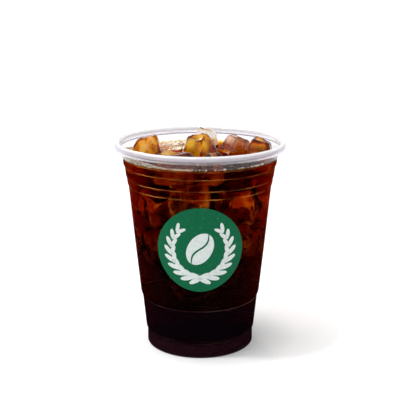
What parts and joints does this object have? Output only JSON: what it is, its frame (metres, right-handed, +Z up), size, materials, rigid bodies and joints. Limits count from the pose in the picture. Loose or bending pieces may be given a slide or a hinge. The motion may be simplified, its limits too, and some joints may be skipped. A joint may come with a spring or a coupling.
{
  "type": "cold brew coffee",
  "caption": "Clear ringed cold cup filled with dark iced coffee, ice cubes breaking the surface under a rolled lip, and a round green print on the front.",
  "frame": {"origin": "on the table, under the middle of the cup's foot", "axes": "+Z up out of the mouth along the cup's axis; -Y towards the printed side, which is the front; +X to the right as seen from the front"},
  "size_m": [0.098, 0.098, 0.1247],
  "materials": {
    "clear_plastic": "gloss",
    "coffee": "gloss",
    "ice": "gloss"
  },
  "bodies": {
    "root": {"cup": "clear_plastic", "coffee": "coffee", "ice_centre": "ice", "ice_left": "ice", "ice_front_left": "ice", "ice_front_mid": "ice", "ice_right": "ice", "ice_right_inner": "ice", "ice_back": "ice", "ice_back_left": "ice"}
  },
  "joints": []
}
